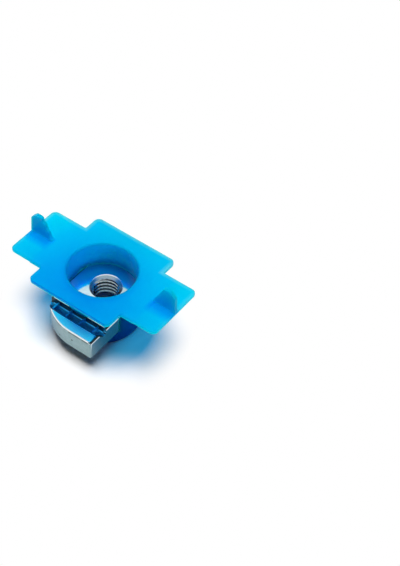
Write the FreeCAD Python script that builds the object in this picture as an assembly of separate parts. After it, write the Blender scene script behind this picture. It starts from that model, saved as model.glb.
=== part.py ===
import FreeCAD, Part
import os
from math import acos, asin, cos, sin, tan

# Channel nut for 41 mm strut: a toothed steel bar with an M8 thread, captive in the windows of a
# moulded retainer whose cross-shaped plate lies on the channel and whose fins are pressed to turn it.
# Millimetres. The origin is on the thread's axis at the level of the retainer's foot, +Z runs up the
# thread, +X along the wings and +Y along the bar.

# Retainer plate
plate_length = 48.0
block_length = 26.3
block_width = 28.8
wing_width = 18.3
plate_thickness = 1.0
wing_tip_thickness = 0.75
wing_root_length = 3.9
plate_corner_radius = 1.6
plate_notch_radius = 0.5
plate_edge_chamfer = 0.18

# Fins that stand on the wing ends; one has a nicked inner edge
fin_thickness = 1.05
fin_base_length = 7.2
fin_outer_height = 5.1
fin_outer_lean = 0.35
fin_height = 6.6
fin_crest_start = 1.9
fin_crest_end = 3.85
fin_crest_radius = 0.8
nick_count = 3
nick_radius = 1.4
nick_depth = 0.25

# Collar, its foot ring and the windows for the bar
collar_clearance = 0.15
collar_wall = 1.2
mouth_chamfer = 0.35
collar_root_radius = 0.7
well_depth = 7.9
ring_bore = 15.6
ring_height = 3.5
ring_outer_radius = 0.8
ring_inner_chamfer = 0.3
window_clearance = 0.2

# Steel bar; the loose retainer has slid along it, off the thread's axis
bar_length = 35.8
bar_width = 18.5
bar_thickness = 6.2
bar_slide = 1.4
bar_end_flat = 7.0
bar_end_fall = 5.7
bar_corner_radius = 0.6
bar_round_radius = 4.0
bar_front_edge_radius = 0.4
bar_side_edge_radius = 0.9
bar_back_edge_radius = 0.5

# Grooves that take the channel's lips
groove_start = 11.4
groove_wall_run = 0.1
groove_floor = 1.1
groove_slope_run = 2.3
groove_depth = 2.0
groove_blend_radius = 0.4

# Teeth across each groove
tooth_count = 4
tooth_pitch = 4.4
tooth_root_width = 0.75
tooth_top_width = 0.4
tooth_drop = 0.8

# Threaded hole, at the M8 tapping diameter, with a countersink on each face
thread_bore = 6.8
front_sink = 9.0
back_sink = 7.6

# Derived levels and radii
bar_back_z = ring_height
bar_front_z = bar_back_z + bar_thickness
plate_top_z = bar_front_z + well_depth
plate_bottom_z = plate_top_z - plate_thickness
collar_bore = bar_width + 2 * collar_clearance
collar_radius = collar_bore / 2 + collar_wall
overrun = 1.0
touch = 1e-4


def flat(u, v):
    return FreeCAD.Vector(u, v, 0)


def across_y(u, v):
    return FreeCAD.Vector(u, 0, v)


def across_x(u, v):
    return FreeCAD.Vector(0, u, v)


def rounded_edges(corners, place):
    """Straight runs joined by tangent arcs; each corner is (u, v, radius), in order round the outline."""
    stops = []
    count = len(corners)
    for index, (u, v, radius) in enumerate(corners):
        corner = place(u, v)
        before = (place(*corners[index - 1][:2]) - corner).normalize()
        after = (place(*corners[(index + 1) % count][:2]) - corner).normalize()
        if radius == 0:
            stops.append((corner, None, corner))
            continue
        half = acos(before.dot(after)) / 2
        inward = (before + after).normalize()
        reach = radius / tan(half)
        middle = corner + inward * (radius / sin(half) - radius)
        stops.append((corner + before * reach, middle, corner + after * reach))
    edges = []
    for index, (start, middle, end) in enumerate(stops):
        if middle is not None:
            edges.append(Part.Arc(start, middle, end).toShape())
        edges.append(Part.LineSegment(end, stops[(index + 1) % count][0]).toShape())
    return edges


def prism(corners, place, start, reach):
    """Solid of an outline, moved by start and drawn out along reach."""
    face = Part.Face(Part.Wire(rounded_edges(corners, place)))
    face.translate(start)
    return face.extrude(reach)


def revolved(corners):
    """Solid of revolution about Z of an outline of (radius, height, corner radius)."""
    face = Part.Face(Part.Wire(rounded_edges(corners, across_y)))
    return face.revolve(FreeCAD.Vector(), FreeCAD.Vector(0, 0, 1), 360)


def box(x_reach, y_reach, z_low, z_high):
    """Block centred on the Z axis."""
    corner = FreeCAD.Vector(-x_reach, -y_reach, z_low)
    return Part.makeBox(2 * x_reach, 2 * y_reach, z_high - z_low, corner)


def cross_corners(length):
    """Outline of the cross plate with wings that end at the given overall length."""
    tip, block = length / 2, block_length / 2
    side, wing = block_width / 2, wing_width / 2
    outer, notch = plate_corner_radius, plate_notch_radius
    quarter = [(tip, wing, outer), (block, wing, notch), (block, side, outer)]
    mirrored = [(-u, v, r) for u, v, r in reversed(quarter)]
    upper = quarter + mirrored
    return upper + [(-u, -v, r) for u, v, r in upper]


def root_corners():
    """Outline of the thick middle of the plate: the block and the wing roots, square at their outer ends."""
    root = block_length / 2 + wing_root_length
    return [(u, v, 0 if abs(u) == root else r) for u, v, r in cross_corners(2 * root)]


def edges_at(shape, level):
    """Edges that lie wholly in the horizontal plane at that level."""
    return [edge for edge in shape.Edges
            if abs(edge.BoundBox.ZMin - level) < touch and abs(edge.BoundBox.ZMax - level) < touch]


def matching(shape, wanted):
    """The edges of a shape that lie where the wanted edges of an earlier shape lay."""
    places = [edge.BoundBox.Center for edge in wanted]
    return [edge for edge in shape.Edges
            if any((edge.BoundBox.Center - place).Length < touch for place in places)]


def plate():
    tip_bottom_z = plate_top_z - wing_tip_thickness
    cross = prism(cross_corners(plate_length), flat, FreeCAD.Vector(0, 0, tip_bottom_z),
                  FreeCAD.Vector(0, 0, wing_tip_thickness))
    middle = prism(root_corners(), flat, FreeCAD.Vector(0, 0, plate_bottom_z),
                   FreeCAD.Vector(0, 0, plate_thickness))
    whole = cross.fuse(middle).removeSplitter()
    return whole.makeChamfer(plate_edge_chamfer, edges_at(whole, plate_top_z))


def fin(side):
    """Fin at the end of the wing on that side, +1 or -1 along X, rooted in the wing."""
    foot_z = plate_top_z - wing_tip_thickness / 2
    slant = (fin_base_length - fin_crest_end) / fin_height
    foot = fin_base_length + slant * (plate_top_z - foot_z)
    crest_z = plate_top_z + fin_height
    corners = [(0, foot_z, 0), (foot, foot_z, 0), (fin_crest_end, crest_z, fin_crest_radius),
               (fin_crest_start, crest_z, fin_crest_radius),
               (fin_outer_lean, plate_top_z + fin_outer_height, fin_crest_radius)]

    def place(u, v):
        return FreeCAD.Vector(side * (plate_length / 2 - u), 0, v)

    start = FreeCAD.Vector(0, -fin_thickness / 2, 0)
    return prism(corners, place, start, FreeCAD.Vector(0, fin_thickness, 0))


def nicks(side):
    """Shallow scallops spaced along the inner edge of the fin on that side."""
    foot = FreeCAD.Vector(side * (plate_length / 2 - fin_base_length), -fin_thickness, plate_top_z)
    along = FreeCAD.Vector(side * (fin_base_length - fin_crest_end), 0, fin_height)
    outward = FreeCAD.Vector(-side * along.z, 0, side * along.x).normalize()
    scallops = []
    for index in range(nick_count):
        centre = foot + along * ((index + 0.5) / nick_count) + outward * (nick_radius - nick_depth)
        scallops.append(Part.makeCylinder(nick_radius, 2 * fin_thickness, centre, FreeCAD.Vector(0, 1, 0)))
    return scallops


def collar():
    """Outside of the collar and its foot ring, flared where it meets the plate."""
    flare = collar_radius + collar_root_radius
    low = plate_bottom_z - collar_root_radius
    inside = plate_top_z - plate_thickness / 2
    wall = revolved([(0, 0, 0), (collar_radius, 0, ring_outer_radius), (collar_radius, inside, 0),
                     (0, inside, 0)])
    root = revolved([(collar_radius - overrun, low, 0), (collar_radius, low, 0), (flare, plate_bottom_z, 0),
                     (flare, inside, 0), (collar_radius - overrun, inside, 0)])
    hollow = Part.makeTorus(flare, collar_root_radius, FreeCAD.Vector(0, 0, low))
    return wall.fuse(root.cut(hollow))


def well():
    """Bore of the collar from the bar up, with an eased mouth."""
    bore, lip = collar_bore / 2, collar_bore / 2 + mouth_chamfer
    return revolved([(0, bar_front_z, 0), (bore, bar_front_z, 0), (bore, plate_top_z - mouth_chamfer, 0),
                     (lip, plate_top_z, 0), (lip, plate_top_z + overrun, 0), (0, plate_top_z + overrun, 0)])


def foot_bore():
    """Hole of the foot ring, with its lower edge eased."""
    bore, lip = ring_bore / 2, ring_bore / 2 + ring_inner_chamfer
    return revolved([(0, -overrun, 0), (lip, -overrun, 0), (lip, 0, 0), (bore, ring_inner_chamfer, 0),
                     (bore, ring_height + overrun, 0), (0, ring_height + overrun, 0)])


def retainer():
    """Moulded in one piece: plate, collar, foot ring and fins."""
    body = plate().fuse([collar(), fin(1), fin(-1).cut(nicks(-1))])
    window = box(bar_width / 2 + window_clearance, collar_radius + overrun,
                 bar_back_z, bar_front_z + window_clearance)
    moulding = body.cut([well(), window, foot_bore()]).removeSplitter()
    moulding.translate(FreeCAD.Vector(0, -bar_slide, 0))
    return moulding


def bar_outline():
    """Seen from the front: each end is flat to one side and rounded off to the other, for turning in."""
    side, end = bar_width / 2, bar_length / 2
    run = bar_width - bar_end_flat
    radius = (run ** 2 + bar_end_fall ** 2) / (2 * bar_end_fall)
    turn = asin(run / radius)

    def on_arc(angle):
        return flat(side - bar_end_flat - radius * sin(angle), radius - end - radius * cos(angle))

    half = [Part.LineSegment(flat(side, -end), on_arc(0)).toShape(),
            Part.Arc(on_arc(0), on_arc(turn / 2), on_arc(turn)).toShape(),
            Part.LineSegment(on_arc(turn), flat(-side, end)).toShape()]
    other = [edge.copy() for edge in half]
    for edge in other:
        edge.rotate(FreeCAD.Vector(), FreeCAD.Vector(0, 0, 1), 180)
    return Part.Face(Part.Wire(half + other)).extrude(FreeCAD.Vector(0, 0, bar_thickness))


def bar_section():
    """Seen from the end: long front edges that are rolled over."""
    side, reach = bar_width / 2, bar_length + 2 * overrun
    corners = [(-side, 0, 0), (side, 0, 0), (side, bar_thickness, bar_side_edge_radius),
               (-side, bar_thickness, bar_side_edge_radius)]
    return prism(corners, across_y, FreeCAD.Vector(0, -reach / 2, 0), FreeCAD.Vector(0, reach, 0))


def bar_block():
    """Bar before its grooves, with its corners and edges eased."""
    block = bar_outline()
    corners = [edge for edge in block.Edges if edge.BoundBox.ZLength > bar_thickness - touch
               and abs(edge.BoundBox.Center.x) > bar_width / 2 - touch]
    square = [edge for edge in corners if abs(edge.BoundBox.Center.y) > bar_length / 2 - touch]
    rounded = [edge for edge in corners if abs(edge.BoundBox.Center.y) <= bar_length / 2 - touch]
    block = block.makeFillet(bar_round_radius, rounded)
    block = block.makeFillet(bar_corner_radius, matching(block, square))
    block = block.makeFillet(bar_front_edge_radius, edges_at(block, bar_thickness))
    block = block.makeFillet(bar_back_edge_radius, edges_at(block, 0))
    return block.common(bar_section())


def bar_profile():
    """Seen from the side: two grooves between the raised middle and the end lips."""
    end, reach = bar_length / 2 + overrun, bar_width + 2 * overrun
    top, floor = bar_thickness, bar_thickness - groove_depth
    wall = groove_start + groove_wall_run
    slope = wall + groove_floor
    blend = groove_blend_radius
    half = [(end, -overrun, 0), (end, top, 0), (slope + groove_slope_run, top, blend), (slope, floor, blend),
            (wall, floor, blend), (groove_start, top, blend / 2)]
    corners = half + [(-u, v, r) for u, v, r in reversed(half)]
    return prism(corners, across_x, FreeCAD.Vector(-reach / 2, 0, 0), FreeCAD.Vector(reach, 0, 0))


def teeth():
    """Thin ridges across both grooves, running along the bar."""
    root, top = tooth_root_width / 2, tooth_top_width / 2
    floor = bar_thickness - groove_depth
    crest = bar_thickness - tooth_drop
    near = groove_start + groove_wall_run / 2
    far = groove_start + groove_wall_run + groove_floor + groove_slope_run
    corners = [(-root, floor - overrun, 0), (root, floor - overrun, 0), (root, floor, 0), (top, crest, 0),
               (-top, crest, 0), (-root, floor, 0)]
    ridges = []
    for index in range(tooth_count):
        x = (index - (tooth_count - 1) / 2) * tooth_pitch
        for side in (1, -1):
            ridges.append(prism(corners, across_y, FreeCAD.Vector(x, side * near, 0),
                                FreeCAD.Vector(0, side * (far - near), 0)))
    return ridges


def thread_hole():
    """Tapping hole through the bar with its two countersinks."""
    bore, front, back = thread_bore / 2, front_sink / 2, back_sink / 2
    top = bar_thickness
    return revolved([(0, -overrun, 0), (back + overrun, -overrun, 0), (bore, back - bore, 0),
                     (bore, top - (front - bore), 0), (front + overrun, top + overrun, 0),
                     (0, top + overrun, 0)])


def channel_nut():
    """Forged steel bar with grooves, teeth and a threaded hole."""
    block = bar_block()
    ridges = [ridge.common(block) for ridge in teeth()]
    bar = block.common(bar_profile()).fuse(ridges).cut(thread_hole()).removeSplitter()
    bar.translate(FreeCAD.Vector(0, 0, bar_back_z))
    return bar


os.makedirs("parts", exist_ok=True)
for name, shape in {"channel_nut": channel_nut(), "retainer": retainer()}.items():
    shape.exportStep(os.path.join("parts", name + ".step"))
    size = shape.BoundBox
    print(name, len(shape.Solids), "solid", shape.isValid(), round(shape.Volume, 1), "mm3",
          [round(v, 2) for v in (size.XMin, size.XMax, size.YMin, size.YMax, size.ZMin, size.ZMax)])
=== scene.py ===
from math import pi, radians

import bmesh
import bpy
import numpy as np
from mathutils import Matrix, Vector


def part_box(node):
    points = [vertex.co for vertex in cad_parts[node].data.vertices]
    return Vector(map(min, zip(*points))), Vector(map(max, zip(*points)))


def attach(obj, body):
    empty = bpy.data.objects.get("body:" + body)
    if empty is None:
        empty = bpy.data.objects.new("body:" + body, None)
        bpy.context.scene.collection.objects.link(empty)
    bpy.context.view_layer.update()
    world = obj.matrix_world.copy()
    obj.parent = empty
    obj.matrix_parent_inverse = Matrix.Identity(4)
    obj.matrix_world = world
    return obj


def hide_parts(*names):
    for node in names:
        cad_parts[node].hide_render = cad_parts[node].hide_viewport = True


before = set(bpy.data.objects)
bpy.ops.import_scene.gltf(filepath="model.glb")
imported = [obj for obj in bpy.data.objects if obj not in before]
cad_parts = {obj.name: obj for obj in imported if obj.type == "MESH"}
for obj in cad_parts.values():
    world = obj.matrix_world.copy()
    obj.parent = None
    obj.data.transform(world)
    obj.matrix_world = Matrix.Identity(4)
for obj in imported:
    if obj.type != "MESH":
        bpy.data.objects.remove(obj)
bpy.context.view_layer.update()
scene = bpy.context.scene
scene.view_settings.view_transform = "Standard"

# Thread of the steel bar, in metres: the CAD hole is at the tapping size and the thread is cut here
THREAD_PITCH = 0.00125
THREAD_MINOR_RADIUS = 0.00342
THREAD_MAJOR_RADIUS = 0.00402
THREAD_CREST_SHARE = 1 / 4
THREAD_ROOT_SHARE = 1 / 8
THREAD_SIDES = 96
THREAD_STEPS_PER_TURN = 20
THREAD_OVERRUN = 0.0006
SHARP_ANGLE = radians(28)
WELD_DISTANCE = 1e-7

# Outline of the moulded plate, in metres: a block with a narrower wing to each side
mould_low, mould_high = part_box("retainer")
PLATE_CENTRE_Y = (mould_low.y + mould_high.y) / 2
WING_REACH_X = mould_high.x
WING_REACH_Y = 0.00915
BLOCK_REACH_X = 0.01315
BLOCK_REACH_Y = mould_high.y - PLATE_CENTRE_Y

# Floor and camera, in metres, with the lens and the sensor in millimetres
FLOOR_HALF = 1.5
SHADOW_CENTRE = (0.0, -0.005, 0.0)
SHADOW_EDGE = (0.016, 0.027)
CAMERA_PLACE = Vector((0.14683, -0.18, 0.26658))
CAMERA_RIGHT = Vector((0.80815, 0.58713, 0.04661)).normalized()
CAMERA_FORWARD = Vector((-0.368, 0.56514, -0.73837)).normalized()
CAMERA_LENS = 82.69
CAMERA_SENSOR = 36.0

# Light: the lamp in metres and watts, then the surround's strengths and the heights between which a mirrored
# one goes from low to high, as the upward part of a ray's direction
LAMP_PLACE = (-0.06, 0.08, 1.2)
LAMP_SIZE = 0.7
LAMP_ENERGY = 17.2
SURROUND_ON_OBJECT = 0.03
SURROUND_MIRRORED_LOW = 0.5
SURROUND_MIRRORED_HIGH = 1.0
SURROUND_HEIGHTS = (0.1, 0.5)

# The range in which most of a noise lies
NOISE_RANGE = (0.3, 0.7)
WHITE = (1, 1, 1, 1)
PAPER_STOPS = ((0.3, (0.82, 0.82, 0.82, 1)), (0.7, (0.84, 0.84, 0.84, 1)))

# Where each tone lies on the zinc. A limit names what is measured, the value where the tone is 0 and the
# value where it is 1, or gives other levels after them. Places are in metres: width and length are the
# distances from the bar's middle, and corner is x times y. The normal's parts are up and endwise, and away
# is more than 0 where the surface faces the nearer end of the bar.
ZINC_LIMITS = {
    "front": [("up", 0.2, 0.6)],
    # Painted highlight: near white on the rounded edges that face partly up
    "edge_highlight": [("up", 0.25, 0.4), ("up", 0.98, 0.93)],
    "speck": [("spot", 0.19, 0.12), ("choice", 0.6, 0.62), ("up", 0.6, 0.2)],
    # Painted shadow: a broken dark line on the end faces just under their top edge
    "edge_shadow_line": [("up", 0.15, 0.10), ("patch", 0.42, 0.5, 0.0, 0.75), ("z", 0.0088, 0.0089),
                ("width", 0.0085, 0.0083), ("length", 0.0118, 0.0122)],
    # Painted shade: the front inside the collar darker towards its far side
    "far_front_shade": [("y", -0.0045, 0.0, 0.0, 0.6), ("length", 0.0110, 0.0105), ("up", 0.2, 0.6)],
    # Painted reflection: a brighter, bluer tone on the lip's flat top for the blue moulding it mirrors
    "lip": [("length", 0.0147, 0.0149), ("up", 0.98, 0.99)],
    # Painted reflection: the grooves tinted blue for the blue moulding mirrored in them
    "groove": [("length", 0.0112, 0.0114), ("length", 0.0150, 0.0146), ("z", 0.0097, 0.0094),
               ("up", 0.08, 0.12)],
    # Painted shade: the groove walls near black
    "wall": [("length", 0.0112, 0.0114), ("length", 0.0120, 0.0118), ("endwise", 0.8, 0.95)],
    # Painted dark reflection: a near-black band on the rolled edges along the bar's sides
    "rolled": [("up", 0.96, 0.90), ("up", 0.36, 0.42), ("width", 0.0083, 0.0085)],
    # Painted highlight: a light line on the sides' top edges below the rolled band
    "side_edge_highlight": [("up", 0.03, 0.10), ("up", 0.42, 0.36), ("width", 0.0083, 0.0085),
               ("corner", -2e-5, -4e-5)],
    "cone": [("radius", 0.0047, 0.0046), ("z", 0.0084, 0.0086), ("up", 0.95, 0.85)],
    # Painted highlight: a light ring on the outer part of the countersink
    "cone_rim_highlight": [("radius", 0.0047, 0.0046), ("z", 0.0084, 0.0086), ("up", 0.95, 0.85),
             ("radius", 0.00428, 0.00436)],
    # Painted shade: the hole darker the deeper it goes
    "hole_shade": [("radius", 0.00408, 0.00404), ("z", 0.0086, 0.0050, 0.0, 0.55)],
    # Painted shade: near black in the thread away from its crests
    "root": [("radius", 0.00346, 0.00366), ("radius", 0.00406, 0.00403), ("z", 0.0086, 0.0083)],
    "outward": [("away", -0.0002, 0.0004)],
    "rounded": [("up", 0.2, 0.6), ("up", 0.997, 0.985, 0.0, 0.55)],
}
ZINC_TONES = {
    # Painted highlight on the rounded edges
    "edge_highlight": (0.93, 0.95, 0.96, 1),
    "speck": (0.03, 0.035, 0.04, 1),
    # Painted shadow line under the end faces' top edge
    "edge_shadow_line": (0.05, 0.06, 0.06, 1),
    # Painted shade on the far part of the front inside the collar
    "far_front_shade": (0.40, 0.55, 0.58, 1),
    # Painted blue reflection on the lip's top
    "lip": (0.72, 0.93, 1.0, 1),
    # Painted blue reflection in the grooves
    "groove": (0.05, 0.44, 0.76, 1),
    # Painted shade on the groove walls
    "wall": (0.03, 0.04, 0.05, 1),
    # Painted dark reflection on the rolled edges
    "rolled": (0.03, 0.04, 0.05, 1),
    # Painted highlight on the sides' top edges
    "side_edge_highlight": (0.85, 0.90, 0.92, 1),
    "cone": (0.30, 0.40, 0.46, 1),
    # Painted highlight on the countersink's outer ring
    "cone_rim_highlight": (0.80, 0.84, 0.86, 1),
    # Painted shade down the hole
    "hole_shade": (0.06, 0.18, 0.26, 1),
    # Painted shade in the thread roots
    "root": (0.005, 0.015, 0.04, 1),
}
# Partly a duller cut finish and partly painted shade: the faces that do not face up are darker
CUT_AND_SHADED_SIDE_STOPS = ((0.3, (0.21, 0.32, 0.33, 1)), (0.7, (0.26, 0.37, 0.39, 1)))
PRESSED_STOPS = ((0.3, (0.54, 0.74, 0.84, 1)), (0.7, (0.60, 0.80, 0.89, 1)))
PRESSED_ROUGHNESS = (0.05, 0.10)
CUT_EXTRA_ROUGHNESS = 0.14
ZINC_ROUGHNESS = {"groove": 0.38, "lip": 0.3, "cone": 0.26}

# Where each tone lies on the moulding, in the same form. Width and length are the distances from the
# plate's middle, along is the length with its sign, and inset is the distance in from the plate's outline.
PLASTIC_LIMITS = {
    # Painted light: lighter along the plate's outline, most to the far side, weaker out on the right wing
    "rim": [("inset", 0.0013, 0.0002), ("along", -0.009, 0.006, 0.0, 0.6), ("z", 0.0162, 0.0172),
            ("x", 0.012, 0.023, 1.0, 0.4)],
    # Painted shade: the collar's outside darker towards its foot
    "under": [("radius", 0.0098, 0.0103), ("z", 0.0155, 0.0090, 0.0, 0.75)],
    # Painted light: a lighter blue on the plate's downward faces
    "below": [("up", -0.4, -0.8), ("z", 0.0160, 0.0164)],
    # Painted shade: the collar's inner wall, darker towards its foot
    "well": [("radius", 0.0097, 0.0095, 0.0, 0.9), ("z", 0.0172, 0.0165)],
    # Painted light: a lighter blue on the fins
    "fin": [("z", 0.0177, 0.0180, 0.0, 0.8)],
    # Painted reflection: a deeper blue patch on the plate in front of each fin
    "root": [("along", -0.0045, -0.002, 0.0, 0.95), ("along", 0.0012, 0.0003),
             ("width", 0.0160, 0.0175), ("z", 0.0177, 0.0176)],
    # Painted shade: the plate's edge faces at the near end darker
    "near": [("along", -0.0142, -0.0143, 0.0, 0.8), ("up", 0.97, 0.9)],
    "clear": [("radius", 0.0097, 0.0095, 0.0, 0.9), ("z", 0.0172, 0.0165), ("z", 0.0110, 0.0128)],
}
PLASTIC_TONES = {
    # Painted light along the plate's outline
    "rim": (0.14, 0.52, 0.88, 1),
    # Painted shade on the collar's outside
    "under": (0.0, 0.05, 0.35, 1),
    # Painted light on the plate's underside
    "below": (0.0, 0.42, 1.0, 1),
    # Painted light on the fins
    "fin": (0.0, 0.36, 1.0, 1),
    # Painted reflection of each fin
    "root": (0.0, 0.14, 0.92, 1),
    # Painted shade on the plate's near edge faces
    "near": (0.0, 0.08, 0.70, 1),
}
WELL_HEIGHTS = (0.0095, 0.0165)
# Painted shade: the collar's inner wall from its foot, darkest, to its top
WELL_SHADE_STOPS = ((0.0, (0.0, 0.22, 1.0, 1)), (0.45, (0.0, 0.27, 1.0, 1)), (1.0, (0.0, 0.31, 1.0, 1)))
# Painted light: the plate lighter towards the far side, out along the wings and more on the left wing
PAINTED_LIGHT_LIMITS = [("along", -0.0125, 0.0125, 0.0, 0.8), ("width", 0.011, 0.024, 0.0, 0.2),
               ("x", -0.011, -0.024, 0.0, 0.15)]
PALE_CLOUDS = (-0.03, 0.03)
PLATE_STOPS = ((0.0, (0.0, 0.21, 0.78, 1)), (0.95, (0.0, 0.40, 1.0, 1)))
PLASTIC_ROUGHNESS = (0.2, 0.28)
SCATTER_IN_PLATE = (0.05, 0.65, 0.65, 1)
SCATTER_IN_COLLAR = (0.05, 1.1, 12.0, 1)
SCATTER_SCALE = 0.012
SHADOW_TINT = (0.0, 0.40, 0.50, 1)


def nodes_of(name):
    """A new material with its node tree and an empty output."""
    made = bpy.data.materials.new(name)
    made.use_nodes = True
    tree = made.node_tree
    tree.nodes.clear()
    return made, tree, tree.nodes.new("ShaderNodeOutputMaterial")


def feed(tree, socket, value):
    """Links a socket to another node's output, or sets it to a constant."""
    if isinstance(value, bpy.types.NodeSocket):
        tree.links.new(value, socket)
    else:
        socket.default_value = value


def add(tree, kind, **inputs):
    """A node whose named sockets are fed."""
    node = tree.nodes.new(kind)
    for key, value in inputs.items():
        feed(tree, node.inputs[key.replace("_", " ")], value)
    return node


def ramp(tree, source, *stops):
    """A colour ramp over (position, colour) stops."""
    node = tree.nodes.new("ShaderNodeValToRGB")
    tree.links.new(source, node.inputs["Fac"])
    elements = node.color_ramp.elements
    while len(elements) < len(stops):
        elements.new(0.5)
    for element, (position, colour) in zip(elements, stops):
        element.position = position
        element.color = colour
    return node.outputs["Color"]


def noise(tree, place, scale, detail=3.0):
    return add(tree, "ShaderNodeTexNoise", Vector=place, Scale=scale, Detail=detail).outputs["Fac"]


def remap(tree, value, low, high, to_low=0.0, to_high=1.0):
    """A value whose range from low to high is brought to another range, and held at its ends."""
    levels = {"From Min": low, "From Max": high, "To Min": to_low, "To Max": to_high}
    return add(tree, "ShaderNodeMapRange", Value=value, **levels).outputs["Result"]


def calc(tree, operation, *values):
    """A number worked out from other sockets and constants."""
    node = tree.nodes.new("ShaderNodeMath")
    node.operation = operation
    for socket, value in zip(node.inputs, values):
        feed(tree, socket, value)
    return node.outputs[0]


def blend(tree, factor, first, second):
    """A colour that goes from the first to the second as factor goes from 0 to 1."""
    node = tree.nodes.new("ShaderNodeMix")
    node.data_type = "RGBA"
    for socket, value in zip((node.inputs[0], node.inputs[6], node.inputs[7]), (factor, first, second)):
        feed(tree, socket, value)
    return node.outputs[2]


def mixed(tree, factor, first, second):
    """A shader that goes from the first to the second as factor goes from 0 to 1."""
    node = tree.nodes.new("ShaderNodeMixShader")
    for socket, value in zip(node.inputs, (factor, first, second)):
        tree.links.new(value, socket)
    return node.outputs["Shader"]


def bump(tree, height, strength, distance):
    return add(tree, "ShaderNodeBump", Strength=strength, Distance=distance, Height=height).outputs["Normal"]


def principled(tree, output, **inputs):
    shader = add(tree, "ShaderNodeBsdfPrincipled", **inputs)
    tree.links.new(shader.outputs["BSDF"], output.inputs["Surface"])
    return shader


def split(tree, vector):
    """The X, Y and Z sockets of a vector."""
    return add(tree, "ShaderNodeSeparateXYZ", Vector=vector).outputs


def distance_from_axis(tree, x, y):
    return calc(tree, "SQRT", calc(tree, "ADD", calc(tree, "MULTIPLY", x, x), calc(tree, "MULTIPLY", y, y)))


def masks_of(tree, fields, limits_by_name):
    """One factor per name: the product of its limits on the measured fields."""
    masks = {}
    for name, limits in limits_by_name.items():
        factors = [remap(tree, fields[field], *levels) for field, *levels in limits]
        product = factors[0]
        for factor in factors[1:]:
            product = calc(tree, "MULTIPLY", product, factor)
        masks[name] = product
    return masks


def seen_ray(tree, path):
    """1 on camera, glossy and transmission rays."""
    direct = calc(tree, "MAXIMUM", path.outputs["Is Camera Ray"], path.outputs["Is Glossy Ray"])
    return calc(tree, "MAXIMUM", direct, path.outputs["Is Transmission Ray"])


def zinc():
    """Zinc plate: bright on the pressed front, duller and specked on the cut sides, where the duller tone is
    partly painted shade. Painted highlights lie on the rounded edges, the sides' top edges and the
    countersink's outer ring, a painted shadow line under the ends' top edge, painted blue reflections in the
    grooves and on the lip, a painted dark reflection on the rolled edges, and painted shade on the groove
    walls, the far part of the front inside the collar, down the hole and in the thread."""
    made, tree, output = nodes_of("zinc_plate")
    coordinates = add(tree, "ShaderNodeTexCoord")
    place = coordinates.outputs["Object"]
    facing = split(tree, coordinates.outputs["Normal"])
    axes = split(tree, place)
    x, y = axes["X"], axes["Y"]
    cells = add(tree, "ShaderNodeTexVoronoi", Vector=place, Scale=600.0)
    fields = {
        "y": y,
        "z": axes["Z"],
        "width": calc(tree, "ABSOLUTE", x),
        "length": calc(tree, "ABSOLUTE", y),
        "radius": distance_from_axis(tree, x, y),
        "corner": calc(tree, "MULTIPLY", x, y),
        "up": facing["Z"],
        "endwise": calc(tree, "ABSOLUTE", facing["Y"]),
        "away": calc(tree, "MULTIPLY", facing["Y"], y),
        "patch": noise(tree, place, scale=500.0),
        "spot": cells.outputs["Distance"],
        "choice": add(tree, "ShaderNodeSeparateColor", Color=cells.outputs["Color"]).outputs["Red"],
    }
    masks = masks_of(tree, fields, ZINC_LIMITS)
    mottle = noise(tree, place, scale=900.0)
    # The sides' darker tone is partly the cut finish and partly painted shade
    colour = blend(tree, masks["front"], ramp(tree, mottle, *CUT_AND_SHADED_SIDE_STOPS), ramp(tree, mottle, *PRESSED_STOPS))
    for name, tone in ZINC_TONES.items():
        colour = blend(tree, masks[name], colour, tone)
    rough = remap(tree, noise(tree, place, scale=1600.0), *NOISE_RANGE, *PRESSED_ROUGHNESS)
    rough = calc(tree, "ADD", rough, remap(tree, masks["front"], 0.0, 1.0, CUT_EXTRA_ROUGHNESS, 0.0))
    for name, level in ZINC_ROUGHNESS.items():
        rough = calc(tree, "MAXIMUM", rough, calc(tree, "MULTIPLY", masks[name], level))
    edge = calc(tree, "SUBTRACT", masks["outward"], masks["cone"])
    rough = calc(tree, "MAXIMUM", rough, calc(tree, "MULTIPLY", masks["rounded"], edge))
    grain = bump(tree, noise(tree, place, scale=3000.0, detail=4.0), strength=0.05, distance=0.00002)
    principled(tree, output, Base_Color=colour, Metallic=1.0, Roughness=rough, Normal=grain)
    return made


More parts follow.
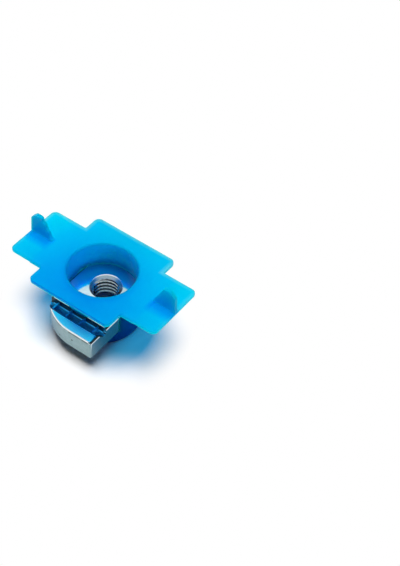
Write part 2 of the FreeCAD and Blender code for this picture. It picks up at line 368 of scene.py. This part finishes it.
def blue_plastic():
    """Translucent blue moulding with painted light and shade. Painted light makes it lighter to the far side
    and the wing ends, along the plate's outline, on the plate's underside and on the fins. Painted shade
    darkens the collar's outside, the plate's edge faces at the near end and the foot of the collar's inner
    wall, and a painted reflection of each fin lies on the plate in front of it. It casts a tinted shadow."""
    made, tree, output = nodes_of("blue_moulding")
    coordinates = add(tree, "ShaderNodeTexCoord")
    place = coordinates.outputs["Object"]
    axes = split(tree, place)
    along = calc(tree, "SUBTRACT", axes["Y"], PLATE_CENTRE_Y)
    width, length = calc(tree, "ABSOLUTE", axes["X"]), calc(tree, "ABSOLUTE", along)
    block = calc(tree, "MINIMUM", calc(tree, "SUBTRACT", BLOCK_REACH_X, width),
                 calc(tree, "SUBTRACT", BLOCK_REACH_Y, length))
    wing = calc(tree, "MINIMUM", calc(tree, "SUBTRACT", WING_REACH_X, width),
                calc(tree, "SUBTRACT", WING_REACH_Y, length))
    fields = {
        "x": axes["X"],
        "z": axes["Z"],
        "along": along,
        "width": width,
        "inset": calc(tree, "MAXIMUM", block, wing),
        "radius": distance_from_axis(tree, width, length),
        "up": split(tree, coordinates.outputs["Normal"])["Z"],
    }
    masks = masks_of(tree, fields, PLASTIC_LIMITS)
    # The plate's tone: random clouds, plus painted light towards the far side and the wing ends
    pale = remap(tree, noise(tree, place, scale=120.0), *NOISE_RANGE, *PALE_CLOUDS)
    for field, *levels in PAINTED_LIGHT_LIMITS:
        pale = calc(tree, "ADD", pale, remap(tree, fields[field], *levels))
    colour = ramp(tree, pale, *PLATE_STOPS)
    for name, tone in PLASTIC_TONES.items():
        colour = blend(tree, masks[name], colour, tone)
    # Painted shade: the collar's inner wall darker towards its foot
    depth = ramp(tree, remap(tree, fields["z"], *WELL_HEIGHTS), *WELL_SHADE_STOPS)
    colour = blend(tree, masks["well"], colour, depth)
    rough = remap(tree, noise(tree, place, scale=700.0), *NOISE_RANGE, *PLASTIC_ROUGHNESS)
    grain = bump(tree, noise(tree, place, scale=1500.0), strength=0.06, distance=0.00005)
    shader = principled(tree, output, Base_Color=colour, Roughness=rough, Normal=grain)
    scatter = blend(tree, masks["clear"], SCATTER_IN_PLATE, SCATTER_IN_COLLAR)
    tree.links.new(scatter, shader.inputs["Subsurface Radius"])
    shader.subsurface_method = "RANDOM_WALK"
    shader.inputs["IOR"].default_value = 1.49
    shader.inputs["Specular IOR Level"].default_value = 0.025
    shader.inputs["Specular Tint"].default_value = (0.0, 0.75, 1.0, 1)
    shader.inputs["Subsurface Weight"].default_value = 1.0
    shader.inputs["Subsurface Scale"].default_value = SCATTER_SCALE
    path = tree.nodes.new("ShaderNodeLightPath")
    filtered = add(tree, "ShaderNodeBsdfTransparent", Color=SHADOW_TINT)
    lit = mixed(tree, path.outputs["Is Shadow Ray"], shader.outputs["BSDF"], filtered.outputs["BSDF"])
    tree.links.new(lit, output.inputs["Surface"])
    return made


def floor_paper():
    """White paper that keeps the shadow near the object. Further out it is full white to the camera and
    in mirrors, and from below it is see-through."""
    made, tree, output = nodes_of("floor_paper")
    place = add(tree, "ShaderNodeTexCoord").outputs["Object"]
    shade = ramp(tree, noise(tree, place, scale=60.0), *PAPER_STOPS)
    plain = add(tree, "ShaderNodeBsdfDiffuse", Color=shade).outputs["BSDF"]
    white = add(tree, "ShaderNodeBsdfDiffuse", Color=WHITE).outputs["BSDF"]
    sweep = add(tree, "ShaderNodeEmission", Color=WHITE, Strength=1.0).outputs["Emission"]
    distance = add(tree, "ShaderNodeVectorMath", Vector=place)
    distance.operation = "DISTANCE"
    distance.inputs[1].default_value = SHADOW_CENTRE
    backdrop = mixed(tree, remap(tree, distance.outputs["Value"], *SHADOW_EDGE), white, sweep)
    seen = mixed(tree, seen_ray(tree, tree.nodes.new("ShaderNodeLightPath")), plain, backdrop)
    back = tree.nodes.new("ShaderNodeNewGeometry").outputs["Backfacing"]
    seen = mixed(tree, back, seen, tree.nodes.new("ShaderNodeBsdfTransparent").outputs["BSDF"])
    tree.links.new(seen, output.inputs["Surface"])
    made.cycles.emission_sampling = "NONE"
    return made


def studio_world():
    """Surround that is white to the camera, half white low down in mirrors, and nearly dark to the object."""
    made = bpy.data.worlds.new("studio")
    made.use_nodes = True
    tree = made.node_tree
    tree.nodes.clear()
    output = tree.nodes.new("ShaderNodeOutputWorld")
    path = tree.nodes.new("ShaderNodeLightPath")
    height = split(tree, add(tree, "ShaderNodeTexCoord").outputs["Generated"])["Z"]
    level = remap(tree, height, *SURROUND_HEIGHTS, SURROUND_MIRRORED_LOW, SURROUND_MIRRORED_HIGH)
    mirrored = calc(tree, "MULTIPLY", level, seen_ray(tree, path))
    strength = calc(tree, "MAXIMUM", mirrored, path.outputs["Is Camera Ray"])
    strength = calc(tree, "MAXIMUM", strength, SURROUND_ON_OBJECT)
    surround = add(tree, "ShaderNodeBackground", Color=WHITE, Strength=strength)
    tree.links.new(surround.outputs["Background"], output.inputs["Surface"])
    return made


def link(name, data):
    """A new object in the scene."""
    made = bpy.data.objects.new(name, data)
    scene.collection.objects.link(made)
    return made


def dress(piece, material):
    piece.data.materials.clear()
    piece.data.materials.append(material)


def settle(piece):
    """Turns a piece's modifiers into its mesh."""
    evaluated = piece.evaluated_get(bpy.context.evaluated_depsgraph_get())
    piece.data = bpy.data.meshes.new_from_object(evaluated)
    piece.modifiers.clear()


def tap(low, high):
    """Closed right-hand threaded rod about Z, from low to high."""
    rows = round((high - low) / THREAD_PITCH * THREAD_STEPS_PER_TURN)
    turn = np.linspace(0, 2 * pi, THREAD_SIDES, endpoint=False)
    level = np.linspace(low, high, rows + 1)
    phase = np.mod(level[:, None] / THREAD_PITCH - turn[None, :] / (2 * pi), 1.0)
    flank = 1 - THREAD_CREST_SHARE - THREAD_ROOT_SHARE
    depth = np.clip((1 - THREAD_CREST_SHARE - np.abs(2 * phase - 1)) / flank, 0, 1)
    radius = THREAD_MINOR_RADIUS + depth * (THREAD_MAJOR_RADIUS - THREAD_MINOR_RADIUS)
    x, y = radius * np.cos(turn), radius * np.sin(turn)
    z = np.repeat(level[:, None], THREAD_SIDES, 1)
    points = np.stack([x, y, z], -1).reshape(-1, 3)
    faces = []
    for row in range(rows):
        for side in range(THREAD_SIDES):
            here, after = row * THREAD_SIDES + side, row * THREAD_SIDES + (side + 1) % THREAD_SIDES
            faces.append((here, after, after + THREAD_SIDES, here + THREAD_SIDES))
    faces.append(tuple(reversed(range(THREAD_SIDES))))
    faces.append(tuple(range(rows * THREAD_SIDES, (rows + 1) * THREAD_SIDES)))
    mesh = bpy.data.meshes.new("tap")
    mesh.from_pydata(points.tolist(), [], faces)
    return link("tap", mesh)


def threaded_bar():
    """Copy of the CAD bar with the thread cut into its hole."""
    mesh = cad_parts["channel_nut"].data.copy()
    if "custom_normal" in mesh.attributes:
        mesh.attributes.remove(mesh.attributes["custom_normal"])
    work = bmesh.new()
    work.from_mesh(mesh)
    bmesh.ops.remove_doubles(work, verts=work.verts, dist=WELD_DISTANCE)
    work.to_mesh(mesh)
    work.free()
    bar = link("threaded_bar", mesh)
    low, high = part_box("channel_nut")
    rod = tap(low.z - THREAD_OVERRUN, high.z + THREAD_OVERRUN)
    cut = bar.modifiers.new("thread", "BOOLEAN")
    cut.operation = "DIFFERENCE"
    cut.solver = "EXACT"
    cut.object = rod
    settle(bar)
    bpy.data.objects.remove(rod)
    bar.data.shade_smooth()
    bar.data.set_sharp_from_angle(angle=SHARP_ANGLE)
    flats = bar.modifiers.new("flats", "WEIGHTED_NORMAL")
    flats.mode = "FACE_AREA"
    flats.weight = 100
    flats.keep_sharp = True
    settle(bar)
    return bar


# Camera at the photo's viewing angle
camera = link("camera", bpy.data.cameras.new("camera"))
camera.data.sensor_width = CAMERA_SENSOR
camera.data.lens = CAMERA_LENS
camera.data.clip_start = 0.01
camera.data.clip_end = 20.0
turned = Matrix((CAMERA_RIGHT, CAMERA_RIGHT.cross(CAMERA_FORWARD), -CAMERA_FORWARD)).transposed().to_4x4()
camera.matrix_world = Matrix.Translation(CAMERA_PLACE) @ turned
scene.camera = camera

# Steel bar with its thread, in place of the plain CAD bar
zinc_plate = zinc()
bar = threaded_bar()
dress(bar, zinc_plate)
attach(bar, "root")
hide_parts("channel_nut")
dress(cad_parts["channel_nut"], zinc_plate)

# Moulded retainer, as packed
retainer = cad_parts["retainer"]
dress(retainer, blue_plastic())

# Floor
corners = [(x * FLOOR_HALF, y * FLOOR_HALF, 0) for x, y in ((-1, -1), (1, -1), (1, 1), (-1, 1))]
floor_mesh = bpy.data.meshes.new("floor")
floor_mesh.from_pydata(corners, [], [(0, 1, 2, 3)])
floor = link("floor", floor_mesh)
floor_mesh.materials.append(floor_paper())

# One soft box overhead, which the steel doesn't mirror, and the surround
scene.world = studio_world()
lamp = link("overhead", bpy.data.lights.new("overhead", "AREA"))
lamp.data.shape = "SQUARE"
lamp.data.size = LAMP_SIZE
lamp.data.energy = LAMP_ENERGY
lamp.location = LAMP_PLACE
lamp.rotation_euler = (-lamp.location).to_track_quat("-Z", "Y").to_euler()
lamp.visible_glossy = False
